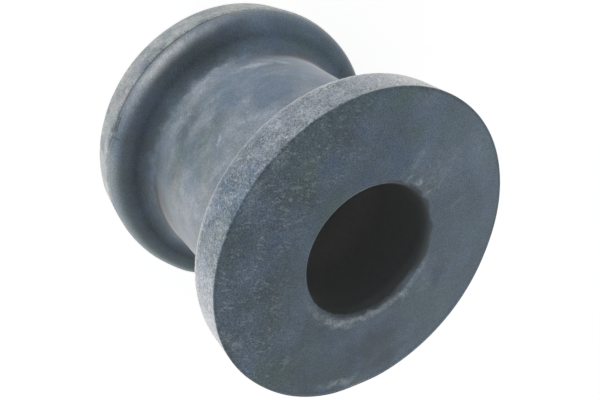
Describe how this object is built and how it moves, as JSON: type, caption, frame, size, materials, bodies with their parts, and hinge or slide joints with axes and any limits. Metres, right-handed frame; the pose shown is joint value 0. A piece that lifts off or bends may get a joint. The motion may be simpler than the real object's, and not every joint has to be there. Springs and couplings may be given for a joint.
{
  "type": "transmission bushing",
  "caption": "Moulded rubber bushing shaped like a spool, with a thick round flange at each end, a narrower waist that seats in a bracket hole and a bore right through for a bolt.",
  "frame": {"origin": "centre of the rear flange's end face, which the bushing stands on", "axes": "+Z along the bore, from the rear face to the front face; the mould's two halves met at +X and -X"},
  "size_m": [0.033, 0.033, 0.0282],
  "materials": {
    "rubber": "matt moulded rubber, slate grey, with a chalky bloom"
  },
  "bodies": {
    "root": {"bushing": "rubber"}
  },
  "joints": []
}
